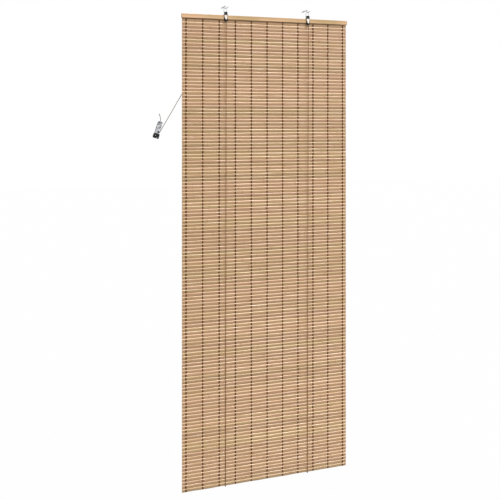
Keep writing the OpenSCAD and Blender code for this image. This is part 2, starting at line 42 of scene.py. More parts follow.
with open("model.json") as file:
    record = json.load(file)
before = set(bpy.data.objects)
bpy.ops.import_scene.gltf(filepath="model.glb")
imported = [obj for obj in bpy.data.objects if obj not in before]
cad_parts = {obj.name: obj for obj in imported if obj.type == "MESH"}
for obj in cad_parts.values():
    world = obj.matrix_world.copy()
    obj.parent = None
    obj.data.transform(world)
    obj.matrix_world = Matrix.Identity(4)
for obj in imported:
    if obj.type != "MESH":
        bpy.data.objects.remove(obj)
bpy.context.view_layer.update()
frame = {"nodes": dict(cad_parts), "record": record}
nodes = frame["nodes"]
chance = random.Random(SEED)

# %% [markdown]
# The camera. The upright sides of the blind are parallel in the picture. A camera that is tilted down
# would make them lean together, so this one is level, and its lens shift moves the picture down instead.
# Its place, turn and focal length come from the four corners of the blind at their real size, and the
# horizon is the row at which the lines of the rail and of the lower edge would meet.

# %% Camera
PICTURE_PX = 500
SENSOR_MM = 36.0
FOCAL_PX = 686.7
HORIZON_PX = 118.4
CAMERA_AT = Vector((-0.7811, -2.2763, -0.3819))
CAMERA_TURN = math.radians(17.73)

camera_data = bpy.data.cameras.new("camera")
camera_data.sensor_width = SENSOR_MM
camera_data.lens = FOCAL_PX * SENSOR_MM / PICTURE_PX
camera_data.shift_y = (HORIZON_PX - PICTURE_PX / 2) / PICTURE_PX
camera = bpy.data.objects.new("camera", camera_data)
camera.location = CAMERA_AT
camera.rotation_euler = (math.pi / 2, 0, -CAMERA_TURN)
bpy.context.scene.collection.objects.link(camera)
bpy.context.scene.camera = camera
print("lens", round(camera_data.lens, 2), "shift", round(camera_data.shift_y, 4))

# %% [markdown]
# Helpers for nodes. A material is a tree of nodes, and it could be built with a line for each node, each
# value and each link. Most of those lines would look alike, so short functions do that work: they add a
# node, fill its inputs with values or with the outputs of other nodes, and return what the next node
# needs.

# %% Node helpers
def srgb(red, green, blue):
    """A colour given from 0 to 255, as Blender's linear colour."""
    def linear(value):
        value /= 255
        return value / 12.92 if value <= 0.04045 else ((value + 0.055) / 1.055) ** 2.4
    return (linear(red), linear(green), linear(blue), 1.0)


def add(tree, kind, inputs=None, **settings):
    """A new node. inputs maps an input's name or number to a value, or to an output to join to it."""
    node = tree.nodes.new(kind)
    for name, value in settings.items():
        setattr(node, name, value)
    for key, value in (inputs or {}).items():
        if isinstance(value, bpy.types.NodeSocket):
            tree.links.new(value, node.inputs[key])
        else:
            node.inputs[key].default_value = value
    return node


def math_node(tree, operation, *values):
    """The result of one operation on values or outputs."""
    return add(tree, "ShaderNodeMath", dict(enumerate(values)), operation=operation).outputs[0]


def mix_colour(tree, factor, first, second, blend):
    """Two colours mixed: inputs 6 and 7 of a Mix node that is set to colours, and its output 2."""
    inputs = {0: factor, 6: first, 7: second}
    return add(tree, "ShaderNodeMix", inputs, data_type="RGBA", blend_type=blend).outputs[2]


def ramp(tree, factor, stops):
    """Colours spread along a value: stops are pairs of position and colour."""
    node = add(tree, "ShaderNodeValToRGB", {0: factor})
    elements = node.color_ramp.elements
    while len(elements) < len(stops):
        elements.new(0.5)
    for element, (place, colour) in zip(elements, stops):
        element.position = place
        element.color = colour
    return node.outputs[0]


def spread(tree, factor, at_zero, at_one):
    """A value from 0 to 1, spread between two others: inputs 3 and 4 of Map Range."""
    return add(tree, "ShaderNodeMapRange", {0: factor, 3: at_zero, 4: at_one}).outputs[0]


WHITE = srgb(255, 255, 255)
print("node helpers ready, white is", WHITE)

# %% [markdown]
# Helpers for materials and groups. Each finish starts from a Principled shader, whose plain values are
# set on its own sockets. An effect that several finishes share could be repeated in each of them, but
# then every change would have to be made several times, so it becomes a node group with named inputs and
# outputs.

# %% Material helpers
def new_material(name, **sockets):
    """A material with a Principled shader, whose plain values are set on its own sockets."""
    material = bpy.data.materials.new(name)
    material.use_nodes = True
    tree = material.node_tree
    shader = next(node for node in tree.nodes if node.type == "BSDF_PRINCIPLED")
    for key, value in sockets.items():
        shader.inputs[key.replace("_", " ")].default_value = value
    return material, tree, shader


def bump_into(tree, shader, height, strength, distance):
    """Leads a height into the shader's normal, as bump."""
    bump = add(tree, "ShaderNodeBump", {"Strength": strength, "Distance": distance, "Height": height})
    tree.links.new(bump.outputs[0], shader.inputs["Normal"])


def new_group(name, inputs, outputs):
    """An empty shader group with named sockets, and its two end nodes."""
    group = bpy.data.node_groups.new(name, "ShaderNodeTree")
    for in_out, sockets in (("INPUT", inputs), ("OUTPUT", outputs)):
        for label, kind in sockets.items():
            group.interface.new_socket(label, in_out=in_out, socket_type="NodeSocket" + kind)
    return group, group.nodes.new("NodeGroupInput"), group.nodes.new("NodeGroupOutput")


def use_group(tree, group, **inputs):
    """A shared effect, placed in a material with its own values."""
    named = {label.replace("_", " "): value for label, value in inputs.items()}
    return add(tree, "ShaderNodeGroup", named, node_tree=group)


def object_place(tree):
    """The place of a surface point on the object. It doesn't slide when the object moves."""
    return add(tree, "ShaderNodeTexCoord").outputs["Object"]


print("material helpers ready")

# %% [markdown]
# Fibre grain is what cane and wood show: streaks that run along the piece. It could be drawn with waves,
# but those look regular. Noise that is stretched along X looks grown. A fine layer gives the streaks, and
# a wide one gives blotches for slow changes of tone.

# %% Fibre grain
FINE_FIBRES = {"Scale": 1.0, "Detail": 4.0, "Roughness": 0.65}
WIDE_FIBRES = {"Scale": 0.22, "Detail": 2.0}


def make_fibre_grain():
    group, start, end = new_group(
        "fibre grain",
        {"Vector": "Vector", "Along": "Float", "Across": "Float"},
        {"Streaks": "Float", "Blotches": "Float"},
    )
    along, across = start.outputs["Along"], start.outputs["Across"]
    scale = add(group, "ShaderNodeCombineXYZ", {0: along, 1: across, 2: across}).outputs[0]
    inputs = {0: start.outputs["Vector"], 1: scale}
    stretched = add(group, "ShaderNodeVectorMath", inputs, operation="MULTIPLY").outputs[0]
    fine = add(group, "ShaderNodeTexNoise", {"Vector": stretched, **FINE_FIBRES})
    wide = add(group, "ShaderNodeTexNoise", {"Vector": stretched, **WIDE_FIBRES})
    group.links.new(fine.outputs[0], end.inputs["Streaks"])
    group.links.new(wide.outputs[0], end.inputs["Blotches"])
    return group


FIBRE = make_fibre_grain()
print("shared effect:", FIBRE.name)

# %% [markdown]
# Handling is the faint unevenness of plated metal and moulded plastic. Two layers of plain noise are
# enough: a cloudy one for colour and roughness, and fine specks for the bump.

# %% Handling
CLOUDS = {"Detail": 5.0, "Roughness": 0.6}
SPECKS = {"Detail": 2.0}
SPECKS_FINER = 6.0


def make_handling():
    group, start, end = new_group(
        "handling", {"Vector": "Vector", "Scale": "Float"}, {"Cloud": "Float", "Specks": "Float"},
    )
    place, scale = start.outputs["Vector"], start.outputs["Scale"]
    cloud = add(group, "ShaderNodeTexNoise", {"Vector": place, "Scale": scale, **CLOUDS})
    finer = math_node(group, "MULTIPLY", scale, SPECKS_FINER)
    specks = add(group, "ShaderNodeTexNoise", {"Vector": place, "Scale": finer, **SPECKS})
    group.links.new(cloud.outputs[0], end.inputs["Cloud"])
    group.links.new(specks.outputs[0], end.inputs["Specks"])
    return group


HANDLING = make_handling()
print("shared effect:", HANDLING.name)

# %% [markdown]
# Yarn is the twist of threads and cords. The strands could be modelled one by one, but a blind has so
# much yarn that bump does it better. The twist has to follow the cord round its bends, so it reads the
# cord's UV map, where U is the length in metres and V goes once round: a sine of both together winds like
# a screw.

# %% Yarn
FUZZ = {"Scale": 900.0, "Detail": 3.0}


def make_yarn():
    group, start, end = new_group(
        "yarn",
        {"Vector": "Vector", "Twists per metre": "Float", "Strands": "Float"},
        {"Height": "Float", "Fuzz": "Float"},
    )
    parts = add(group, "ShaderNodeSeparateXYZ", {0: start.outputs["Vector"]})
    run = math_node(group, "MULTIPLY", parts.outputs[0], start.outputs["Twists per metre"])
    turn = math_node(group, "MULTIPLY", parts.outputs[1], start.outputs["Strands"])
    angle = math_node(group, "MULTIPLY", math_node(group, "ADD", run, turn), math.tau)
    wave = math_node(group, "SINE", angle)
    height = math_node(group, "MULTIPLY_ADD", wave, 0.5, 0.5)
    fuzz = add(group, "ShaderNodeTexNoise", {"Vector": start.outputs["Vector"], **FUZZ})
    group.links.new(height, end.inputs["Height"])
    group.links.new(fuzz.outputs[0], end.inputs["Fuzz"])
    return group


YARN = make_yarn()
print("shared effect:", YARN.name)

# %% [markdown]
# Cane. Each slat is split from another cane, so its tone differs from its neighbours': pinkish, olive or
# straw. A material for each slat would be one way, but 136 materials are hard to handle. Here the mesh
# holds an attribute with each slat's lightness and hue and the height on the slat, and ramps turn them
# into colour. The ramp over the height is painted light and shade: painted shade at the lower edge, a
# face painted a little darker, a painted highlight on the upper edge where the light falls, and painted
# shade at the top, under the lap of the slat above. Faint marks show where the cane had joints.

# %% Cane finish
CANE_TONES = [
    (0.0, srgb(198, 152, 115)), (0.3, srgb(198, 159, 118)), (0.55, srgb(196, 159, 116)),
    (0.8, srgb(190, 160, 109)), (1.0, srgb(203, 166, 121)),
]
CANE_STREAKS = [(0.3, srgb(206, 192, 178)), (0.62, WHITE)]
CANE_STREAK_SHARE = 0.8
SLAT_SHADES = [(0.0, srgb(232, 228, 222)), (1.0, WHITE)]
# Painted light across each slat, from the lower edge up: painted shade at the lower edge, the face a little
# darker, a painted highlight on the upper edge, and painted shade at the top under the slat above.
SLAT_PAINTED_LIGHT = [
    (0.0, srgb(184, 158, 132)), (0.1, srgb(225, 220, 212)), (0.6, srgb(232, 228, 221)),
    (0.74, WHITE), (0.97, WHITE), (1.0, srgb(210, 184, 158)),
]
JOINT_MARK = [(0.0, srgb(232, 221, 210)), (0.005, srgb(243, 236, 229)), (0.008, WHITE)]
JOINTS_A_METRE = 2.7
JOINT_SLIP = 7.3
HUE_DRIFT = 0.8
CANE_ROUGHNESS = (0.38, 0.26)


def cane_joints(tree, place, light):
    """Faint marks across a slat, at other places on each one."""
    along = add(tree, "ShaderNodeSeparateXYZ", {0: place}).outputs[0]
    run = math_node(tree, "MULTIPLY", along, JOINTS_A_METRE)
    slip = math_node(tree, "MULTIPLY", light, JOINT_SLIP)
    step = math_node(tree, "FRACT", math_node(tree, "ADD", run, slip))
    from_mark = math_node(tree, "ABSOLUTE", math_node(tree, "SUBTRACT", step, 0.5))
    return ramp(tree, from_mark, JOINT_MARK)


def cane_finish():
    material, tree, shader = new_material("split cane", Specular_IOR_Level=1.0)
    place = object_place(tree)
    tone = add(tree, "ShaderNodeAttribute", attribute_name="slat_tone", attribute_type="GEOMETRY")
    parts = add(tree, "ShaderNodeSeparateColor", {0: tone.outputs["Color"]})
    light, hue, height = parts.outputs[0], parts.outputs[1], parts.outputs[2]
    grain = use_group(tree, FIBRE, Vector=place, Along=5.0, Across=700.0)
    drift = math_node(tree, "SUBTRACT", grain.outputs["Blotches"], 0.5)
    hue = math_node(tree, "ADD", hue, math_node(tree, "MULTIPLY", drift, HUE_DRIFT))
    colour = ramp(tree, hue, CANE_TONES)
    layers = [
        (CANE_STREAK_SHARE, ramp(tree, grain.outputs["Streaks"], CANE_STREAKS)),
        (1.0, ramp(tree, light, SLAT_SHADES)),
        # The ramp over the height on the slat paints light and shade: a painted highlight on the upper
        # edge, painted shade below and at the top.
        (1.0, ramp(tree, height, SLAT_PAINTED_LIGHT)),
        (1.0, cane_joints(tree, place, light)),
    ]
    for share, layer in layers:
        colour = mix_colour(tree, share, colour, layer, "MULTIPLY")
    tree.links.new(colour, shader.inputs["Base Color"])
    roughness = spread(tree, grain.outputs["Streaks"], *CANE_ROUGHNESS)
    tree.links.new(roughness, shader.inputs["Roughness"])
    bump_into(tree, shader, grain.outputs["Streaks"], strength=0.35, distance=0.4 * MM)
    return material


CANE = cane_finish()
print("finish:", CANE.name)

# %% [markdown]
# Rail wood. The battens have the same fibres as the slats, but they are single pieces, so their tone
# changes slowly along the length, from pinkish to olive. The grain group is placed twice: finely for the
# streaks, and coarsely for that drift.

# %% Rail finish
RAIL_TONES = [(0.4, srgb(210, 172, 134)), (0.5, srgb(204, 170, 130)), (0.58, srgb(187, 158, 113))]
RAIL_STREAKS = [(0.3, srgb(214, 200, 184)), (0.62, WHITE)]
RAIL_STREAK_SHARE = 0.75


def rail_finish():
    material, tree, shader = new_material("rail wood", Roughness=0.5, Specular_IOR_Level=0.4)
    place = object_place(tree)
    grain = use_group(tree, FIBRE, Vector=place, Along=4.0, Across=420.0)
    drift = use_group(tree, FIBRE, Vector=place, Along=24.0, Across=50.0)
    colour = ramp(tree, drift.outputs["Blotches"], RAIL_TONES)
    streak = ramp(tree, grain.outputs["Streaks"], RAIL_STREAKS)
    colour = mix_colour(tree, RAIL_STREAK_SHARE, colour, streak, "MULTIPLY")
    tree.links.new(colour, shader.inputs["Base Color"])
    bump_into(tree, shader, grain.outputs["Streaks"], strength=0.3, distance=0.4 * MM)
    return material


RAIL_WOOD = rail_finish()
print("finish:", RAIL_WOOD.name)

# %% [markdown]
# Yarns. The warp is a dark brown yarn of two strands, the lift cords are brown and the pull cord is grey.
# One function makes all three, because they differ only in colour, twist and number of strands: the yarn
# effect gives the bump and a painted shade in the grooves between the strands, and fuzz makes the colour
# uneven.

# %% Yarn finishes
FUZZ_SHADES = [(0.35, srgb(214, 210, 204)), (0.6, WHITE)]
FUZZ_SHARE = 0.6
GROOVE_SHADE_AT = 0.05
STRAND_AT = 0.6


def yarn_finish(name, strand, groove_shade, twists, strands):
    material, tree, shader = new_material(name, Roughness=0.9, Specular_IOR_Level=0.05)
    place = add(tree, "ShaderNodeTexCoord").outputs["UV"]
    yarn = use_group(tree, YARN, Vector=place, Twists_per_metre=twists, Strands=strands)
    # The darker colour low in the twist is painted shade in the grooves between the strands.
    colour = ramp(tree, yarn.outputs["Height"], [(GROOVE_SHADE_AT, groove_shade), (STRAND_AT, strand)])
    fuzz = ramp(tree, yarn.outputs["Fuzz"], FUZZ_SHADES)
    colour = mix_colour(tree, FUZZ_SHARE, colour, fuzz, "MULTIPLY")
    tree.links.new(colour, shader.inputs["Base Color"])
    bump_into(tree, shader, yarn.outputs["Height"], strength=0.6, distance=0.3 * MM)
    return material


WARP_YARN = yarn_finish("warp yarn", srgb(104, 56, 6), srgb(70, 36, 3), twists=330.0, strands=2.0)
LIFT_YARN = yarn_finish("lift cord yarn", srgb(126, 88, 54), srgb(98, 66, 38), twists=240.0, strands=3.0)
PULL_YARN = yarn_finish(
    "pull cord yarn", srgb(142, 142, 130), srgb(126, 126, 114), twists=420.0, strands=3.0,
)
print("yarns:", WARP_YARN.name, LIFT_YARN.name, PULL_YARN.name)

# %% [markdown]
# Metal. The straps and plates are zinc plated, with a cloudy spangle, and the cord guards are brighter.
# Bails and hooks are plain wire. Rivets, pins, screws and the cam are dark steel. A flat grey would look
# like paint, so the clouds change both the colour and the roughness, which breaks up the reflections.

# %% Metal finishes
SPANGLE_DARK_AT = 0.35
SPANGLE_BRIGHT_AT = 0.65
SMOOTHER = 0.08
ROUGHER = 0.1


def metal_finish(name, dark, bright, rough, scale):
    material, tree, shader = new_material(name, Metallic=1.0)
    skin = use_group(tree, HANDLING, Vector=object_place(tree), Scale=scale)
    cloud = skin.outputs["Cloud"]
    colour = ramp(tree, cloud, [(SPANGLE_DARK_AT, dark), (SPANGLE_BRIGHT_AT, bright)])
    tree.links.new(colour, shader.inputs["Base Color"])
    roughness = spread(tree, cloud, rough - SMOOTHER, rough + ROUGHER)
    tree.links.new(roughness, shader.inputs["Roughness"])
    bump_into(tree, shader, skin.outputs["Specks"], strength=0.12, distance=0.1 * MM)
    return material


ZINC = metal_finish("zinc plate", srgb(122, 123, 124), srgb(202, 204, 207), rough=0.36, scale=90.0)
BRIGHT_ZINC = metal_finish("bright zinc", srgb(180, 172, 164), srgb(212, 203, 194), rough=0.42, scale=160.0)
WIRE = metal_finish("plain wire", srgb(150, 151, 153), srgb(186, 187, 189), rough=0.36, scale=420.0)
DARK_STEEL = metal_finish("dark steel", srgb(18, 18, 18), srgb(34, 34, 35), rough=0.45, scale=420.0)
print("metals:", ZINC.name, BRIGHT_ZINC.name, WIRE.name, DARK_STEEL.name)

# %% [markdown]
# Black nylon. The housings, sheaves, roller and shoe are moulded. Black plastic is never quite black or
# even, so the same handling effect gives it a faint cloud, a change of gloss and a fine grain.

# %% Nylon finish
NYLON_SHADES = [(0.3, srgb(6, 6, 6)), (0.7, srgb(15, 15, 15))]
NYLON_ROUGHNESS = (0.42, 0.6)


def nylon_finish():
    material, tree, shader = new_material("black nylon", Specular_IOR_Level=0.2)
    skin = use_group(tree, HANDLING, Vector=object_place(tree), Scale=500.0)
    tree.links.new(ramp(tree, skin.outputs["Cloud"], NYLON_SHADES), shader.inputs["Base Color"])
    roughness = spread(tree, skin.outputs["Cloud"], *NYLON_ROUGHNESS)
    tree.links.new(roughness, shader.inputs["Roughness"])
    bump_into(tree, shader, skin.outputs["Specks"], strength=0.2, distance=0.1 * MM)
    return material


BLACK_NYLON = nylon_finish()
print("finish:", BLACK_NYLON.name)

# %% [markdown]
# The rigid solids already have the right shape, so they stay and only get these finishes. The record
# gives each solid a material slot, and the slot names the finish. Guards, bails and hooks share the slot
# of the zinc pieces, so the name of the piece decides there.

# %% Dress the solids
FINISH_OF_SLOT = {
    "bamboo_slats": CANE, "rail_wood": RAIL_WOOD, "warp_thread": WARP_YARN, "lift_cord": LIFT_YARN,
    "pull_cord": PULL_YARN, "zinc_steel": ZINC, "dark_steel": DARK_STEEL, "black_nylon": BLACK_NYLON,
}
FINISH_OF_PIECE = {"cord_guard": BRIGHT_ZINC, "bail": WIRE, "hook": WIRE}
for subpart in frame["record"]["subparts"]:
    finish = FINISH_OF_SLOT[subpart["material_slot"]]
    finish = FINISH_OF_PIECE.get(subpart["node"].rsplit("_", 1)[0], finish)
    materials = nodes[subpart["node"]].data.materials
    materials.clear()
    materials.append(finish)

# %% [markdown]
# A helper for new meshes. A finished piece keeps its place in its mesh and sits at the origin, like the
# solids. It is smooth all over, and where a piece has real edges, those sharper than an angle stay crisp.

# %% Piece helper
def finish_piece(bm, name, material, body, sharp_angle=None):
    """The mesh as an object that rides on a body."""
    mesh = bpy.data.meshes.new(name)
    bm.to_mesh(mesh)
    bm.free()
    mesh.polygons.foreach_set("use_smooth", [True] * len(mesh.polygons))
    if sharp_angle is not None:
        mesh.set_sharp_from_angle(angle=sharp_angle)
    mesh.materials.append(material)
    piece = bpy.data.objects.new(name, mesh)
    bpy.context.scene.collection.objects.link(piece)
    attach(piece, body)
    return piece


print("piece helper ready")

# %% [markdown]
# Tubes. A cord could be a curve object with a round bevel, but then its twist would have no clean UV map.
# So a tube is a circle, extruded along a route ring by ring, and each band of faces gets its UVs from the
# length so far and the turn. The rings must not twist, so each takes its side vector over from the one
# before.

# %% Tube helpers
def ring_frames(route, first_side):
    """For each point of a route, the heading and a side vector that doesn't twist."""
    frames = []
    side = Vector(first_side)
    for i, point in enumerate(route):
        ahead = route[min(i + 1, len(route) - 1)]
        behind = route[max(i - 1, 0)]
        heading = (ahead - behind).normalized()
        side = (side - side.dot(heading) * heading).normalized()
        frames.append((point, heading, side))
    return frames


def ring_edges(bm, ring):
    """The edges of a closed ring of vertices, in order."""
    return [bm.edges.get(pair) for pair in zip(ring, ring[1:] + ring[:1])]


def next_ring(bm, ring):
    """Extrudes a ring, and gives the new one in the same order."""
    grown = bmesh.ops.extrude_edge_only(bm, edges=ring_edges(bm, ring))
    fresh = {item for item in grown["geom"] if isinstance(item, bmesh.types.BMVert)}

    def partner(vert):
        return next(edge.other_vert(vert) for edge in vert.link_edges if edge.other_vert(vert) in fresh)
    return [partner(vert) for vert in ring]


def unwrap_band(uv, low, high, low_length, high_length):
    """UVs of the faces between two rings: U is the length along the tube, and V goes once round."""
    sides = len(low)
    for k in range(sides):
        n = (k + 1) % sides
        corner = {
            low[k]: (low_length, k), high[k]: (high_length, k),
            low[n]: (low_length, k + 1), high[n]: (high_length, k + 1),
        }
        face = next(f for f in low[k].link_faces if low[n] in f.verts and high[k] in f.verts)
        for loop in face.loops:
            along, turn = corner[loop.vert]
            loop[uv].uv = (along, turn / sides)


print("tube helpers ready")

# %% [markdown]
# The tube and its route. The first ring is a circle, and each later one is extruded from the ring before
# and placed on the route. A route with straight runs between a few points would have corners, which a
# taut cord has only at hard edges, so a smooth curve can be laid through the points first.

# %% Tube along a route
def tube_along(bm, route, radius, sides, first_side=(1, 0, 0), capped=True, shares=None):
    """Adds a round tube along a route to bm, with its UV map, and gives its length.

    shares, if given, is the share of the radius at each point of the route."""
    uv = bm.loops.layers.uv.verify()
    circle = bmesh.ops.create_circle(bm, cap_ends=False, segments=sides, radius=radius)
    ring = list(circle["verts"])
    flat = [vert.co.copy() for vert in ring]
    shares = shares or [1.0] * len(route)
    rings = []
    lengths = []
    length = 0.0
    for i, (point, heading, side) in enumerate(ring_frames(route, first_side)):
        across = heading.cross(side)
        if i:
            length += (point - route[i - 1]).length
            ring = next_ring(bm, ring)
        for vert, place in zip(ring, flat):
            vert.co = point + (side * place.x + across * place.y) * shares[i]
        rings.append(ring)
        lengths.append(length)
    for i in range(1, len(rings)):
        unwrap_band(uv, rings[i - 1], rings[i], lengths[i - 1], lengths[i])
    if capped:
        for end in (rings[0], rings[-1]):
            bmesh.ops.edgeloop_fill(bm, edges=ring_edges(bm, end))
    return length


def smooth_route(points, step):
    """A curve through the points, about one step apart, whose slope at a point follows its neighbours."""
    route = []
    last = len(points) - 1
    for i in range(last):
        before, start = points[max(i - 1, 0)], points[i]
        end, after = points[i + 1], points[min(i + 2, last)]
        reach = (end - start).length
        leaving = (end - before).normalized() * reach
        arriving = (after - start).normalized() * reach
        count = max(1, round(reach / step))
        for k in range(count):
            t = k / count
            at_start = 2 * t**3 - 3 * t**2 + 1
            as_leaving = t**3 - 2 * t**2 + t
            at_end = -2 * t**3 + 3 * t**2
            as_arriving = t**3 - t**2
            route.append(at_start * start + as_leaving * leaving + at_end * end + as_arriving * arriving)
    route.append(points[-1].copy())
    return route


CORD_SIDES = 10
print("cords have", CORD_SIDES, "sides")

# %% [markdown]
# The pull cord. It is held taut between the knot behind the rail and the lock, runs under the lock's
# roller and up past the cam, and ends in a short tail. A simulation isn't needed for a taut cord, so its
# points are those of the solid that it replaces.

# %% Pull cord
PULL_ROUTE_MM = [
    (-150, -17.7, -49), (-205.5, -14.8, -144.1), (-261, -11.9, -239.3), (-316.5, -8.9, -334.4),
    (-372, -6, -429.5), (-373.2, -6, -430.9), (-374.9, -6, -431.6), (-376.8, -6, -431.6),
    (-378.5, -6, -430.9), (-379.7, -6, -429.5), (-380.3, -6, -427.7), (-380.1, -6, -425.8),
    (-376.4, -6, -414.4), (-372.7, -6, -403), (-369, -6, -391.6), (-368, -6, -387.5),
    (-368.1, -6, -383.5), (-369, -6, -379), (-370.4, -6, -374), (-372, -6, -368.5),
]
PULL_RADIUS = 1.2 * MM
PULL_STEP = 3 * MM
pull_points = [Vector(point) * MM for point in PULL_ROUTE_MM]
pull_route = smooth_route(pull_points, PULL_STEP)
bm = bmesh.new()
pull_length = tube_along(bm, pull_route, PULL_RADIUS, CORD_SIDES, first_side=(0, 1, 0))
pull_cord = finish_piece(bm, "pull_cord_yarn", PULL_YARN, "blind")
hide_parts("pull_cord")
print("pull cord length", round(pull_length, 4))

# %% [markdown]
# Knots. A knot is a short length of the same cord, wound through itself. A ball would be quicker, but it
# looks like a bead from close by. A trefoil curve is the simplest real knot, so the two knots are trefoil
# tubes, closed on themselves, at the size of the round solids they replace.

# %% Knots
KNOT_STEPS = 48
KNOT_SIDES = 8
KNOT_DEPTH = 0.55
KNOT_RISE = 1.2
KNOT_WELD = 0.05 * MM


def knot(name, node, strand):
    low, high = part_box(node)
    centre = (low + high) / 2
    size = (high.x - low.x) / 2 - strand
    route = []
    for i in range(KNOT_STEPS + 1):
        t = math.tau * i / KNOT_STEPS
        wide = (2 + math.cos(3 * t)) / 3
        across, depth, rise = math.cos(2 * t), math.sin(3 * t), math.sin(2 * t)
        route.append(centre + Vector((wide * across, KNOT_DEPTH * depth, KNOT_RISE * wide * rise)) * size)
    bm = bmesh.new()
    tube_along(bm, route, strand, KNOT_SIDES, first_side=(0, 1, 0), capped=False)
    bmesh.ops.remove_doubles(bm, verts=bm.verts, dist=KNOT_WELD)
    bmesh.ops.recalc_face_normals(bm, faces=bm.faces)
    piece = finish_piece(bm, name, PULL_YARN, "blind")
    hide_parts(node)
    return piece


cord_knot = knot("lift_cord_knot", "cord_knot", strand=1.1 * MM)
tail_knot = knot("pull_cord_tail_knot", "tail_knot", strand=0.8 * MM)

# %% [markdown]
# The lift cords are held by the blind all the way: down the back, under the lowest slat, up the front,
# over the sheave and through the eye of the strap to the knot. Straight runs with arcs between them
# describe that, and their places are worked out from the solids around them, so that the cords fit if the
# blind changes.

# %% Lift cords
LIFT_RADIUS = 1.0 * MM
CORD_PLAY = 0.3 * MM
RIM_DEPTH = 0.2 * MM
CHANNEL_LEAD = 0.6 * MM
LEAVE_ANGLE = 65
LEAVE_RADIUS = 3.2 * MM
CROSS_BEND = 5 * MM
TURN_STEPS = 10
BEND_STEPS = 6
mat_low, mat_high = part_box("woven_mat")
rail_low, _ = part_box("rail_front_batten")
knot_low, knot_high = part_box("cord_knot")
knot_at = (knot_low + knot_high) / 2


def arc_points(centre, radius, start, end, steps):
    """Points on an arc, as pairs. The angles are in degrees."""
    turns = [math.radians(start + (end - start) * i / steps) for i in range(steps + 1)]
    return [(centre[0] + radius * math.cos(turn), centre[1] + radius * math.sin(turn)) for turn in turns]


def lift_route(side):
    low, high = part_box("sheave_" + side)
    axle = (low + high) / 2
    wrap = (high.z - low.z) / 2 - LIFT_RADIUS - RIM_DEPTH
    saddle_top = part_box("hanger_strap_" + side)[1].z
    channel_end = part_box("pulley_housing_" + side)[0].z + CHANNEL_LEAD
    back_run = mat_high.y + LIFT_RADIUS + CORD_PLAY
    front_run = mat_low.y - LIFT_RADIUS - CORD_PLAY
    turn_at = ((back_run + front_run) / 2, mat_low.z)
    leave_at = (knot_at.y - LEAVE_RADIUS, saddle_top - CORD_PLAY)
    plane = [(back_run, rail_low.z)]
    plane += arc_points(turn_at, (back_run - front_run) / 2, 0, -180, TURN_STEPS)
    plane += [(axle.y - wrap, channel_end)]
    plane += arc_points((axle.y, axle.z), wrap, 180, LEAVE_ANGLE, TURN_STEPS)
    plane += arc_points(leave_at, LEAVE_RADIUS, LEAVE_ANGLE, 0, BEND_STEPS)
    route = [Vector((axle.x, y, z)) for y, z in plane]
    if side == "right":
        bend_at = (axle.x - CROSS_BEND, knot_at.z + CROSS_BEND)
        bend = arc_points(bend_at, CROSS_BEND, 0, -90, BEND_STEPS)
        route += [Vector((x, knot_at.y, z)) for x, z in bend]
    return route + [knot_at.copy()]


for side in ("left", "right"):
    bm = bmesh.new()
    length = tube_along(bm, lift_route(side), LIFT_RADIUS, CORD_SIDES)
    piece = finish_piece(bm, f"lift_cord_{side}_yarn", LIFT_YARN, "blind")
    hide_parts("lift_cord_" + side)
    print("lift cord", side, "length", round(length, 3))

# %% [markdown]
# The hooks are screwed into the wall, so their shanks have a screw thread. A bump would leave the outline
# smooth, so it is geometry. A thread is a small ridge that turns and moves on at the same time: one spin
# with a step along the axis makes all its turns at once.

# %% Hook threads
THREAD_ROOT = 1.5 * MM
THREAD_CREST = 2.1 * MM
THREAD_PITCH = 1.8 * MM
THREAD_START = 2.5 * MM
THREAD_TURNS = 8
STEPS_A_TURN = 16
THREAD_SHARP = math.radians(35)
RIDGE_HALF = 0.3 * THREAD_PITCH
RIDGE = [(THREAD_ROOT, -RIDGE_HALF), (THREAD_CREST, 0.0), (THREAD_ROOT, RIDGE_HALF)]

for side in ("left", "right"):
    low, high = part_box("sheave_" + side)
    middle = (low.x + high.x) / 2
    bm = bmesh.new()
    verts = [bm.verts.new((middle + radius, THREAD_START + along, 0)) for radius, along in RIDGE]
    edges = [bm.edges.new(pair) for pair in zip(verts, verts[1:])]
    bmesh.ops.spin(
        bm, geom=verts + edges, cent=(middle, 0, 0), axis=(0, 1, 0), angle=math.tau * THREAD_TURNS,
        steps=THREAD_TURNS * STEPS_A_TURN, dvec=(0, THREAD_PITCH / STEPS_A_TURN, 0), use_duplicate=False,
    )
    bmesh.ops.recalc_face_normals(bm, faces=bm.faces)
    finish_piece(bm, f"hook_thread_{side}", WIRE, "blind", sharp_angle=THREAD_SHARP)
print("hook threads: 2, turns in each:", THREAD_TURNS)

# %% [markdown]
# One slat. It is a strip split from a cane: a flat face, a back, and an upper edge that keeps the round
# of the cane and catches the light. A box with a bump would lack that bright line. The outline is a
# corner spun into an arc, closed at the back, and the section is extruded along the rail in steps, so
# that the slat can bend later.

# %% One slat
SLAT_PITCH = 11.65 * MM
SLAT_LAP = 0.5 * MM
SLAT_STEP = 2.2 * MM
SLAT_HEIGHT = SLAT_PITCH + SLAT_LAP
ROUND_RADIUS = 4.0 * MM
ROUND_TURN = math.radians(64)
ARC_STEPS = 6
RUN_STEPS = 36
mat_width = mat_high.x - mat_low.x
slat_thickness = mat_high.y - mat_low.y


